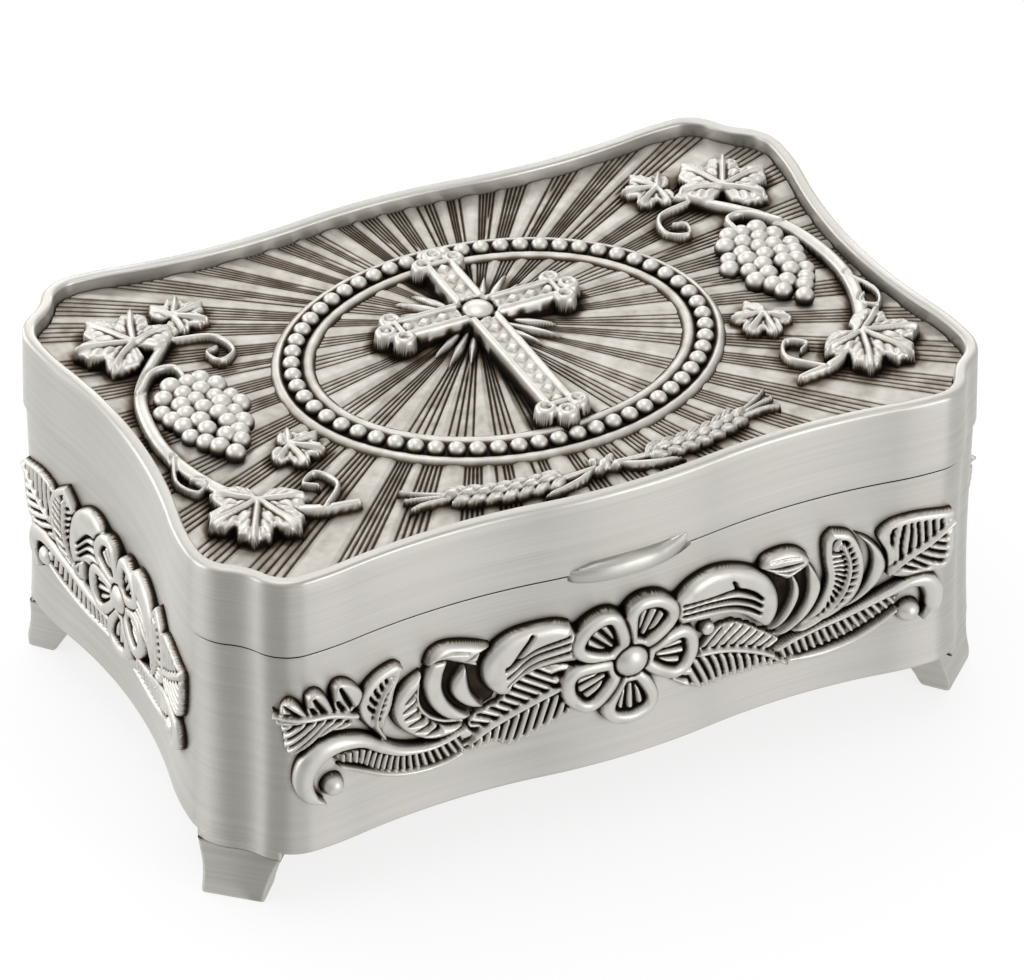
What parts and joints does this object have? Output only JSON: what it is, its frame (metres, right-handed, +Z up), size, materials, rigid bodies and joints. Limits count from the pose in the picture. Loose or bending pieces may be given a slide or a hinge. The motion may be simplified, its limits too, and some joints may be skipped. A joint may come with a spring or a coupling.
{
  "type": "rosary box",
  "caption": "Small hinged keepsake box in cast metal with serpentine walls, diagonal feet, floral relief mounts, a relief plaque on the lid and a velvet lining.",
  "frame": {"origin": "middle of the box's footprint, on the surface that the feet stand on", "axes": "+X along the long side, to the right as seen from the front, +Y towards the hinge at the back, +Z up"},
  "size_m": [0.1066, 0.0762, 0.0492],
  "materials": {
    "satin_pewter": "satin brushed pewter plating on cast zinc alloy",
    "antique_pewter": "antique pewter plating with dark patina in the hollows",
    "steel_pin": "drawn wire",
    "velvet": "black velvet over card"
  },
  "bodies": {
    "base": {"base_wall": "satin_pewter", "base_plate": "satin_pewter", "foot_front_left": "satin_pewter", "foot_front_right": "satin_pewter", "foot_back_left": "satin_pewter", "foot_back_right": "satin_pewter", "front_garland": "antique_pewter", "back_garland": "antique_pewter", "left_garland": "antique_pewter", "right_garland": "antique_pewter", "floor_lining": "velvet", "wall_lining_front": "velvet", "wall_lining_back": "velvet", "wall_lining_left": "velvet", "wall_lining_right": "velvet", "hinge_base_leaf": "satin_pewter", "hinge_pin": "steel_pin"},
    "lid": {"lid_frame": "satin_pewter", "lid_plaque": "antique_pewter", "lid_lining": "velvet", "hinge_lid_leaf": "satin_pewter"}
  },
  "joints": [
    {"name": "lid_hinge", "type": "hinge", "parent": "base", "child": "lid", "pos_m": [0, 0.03689, 0.03757], "axis": [-1, 0, 0], "range_deg": [0, 100]}
  ]
}
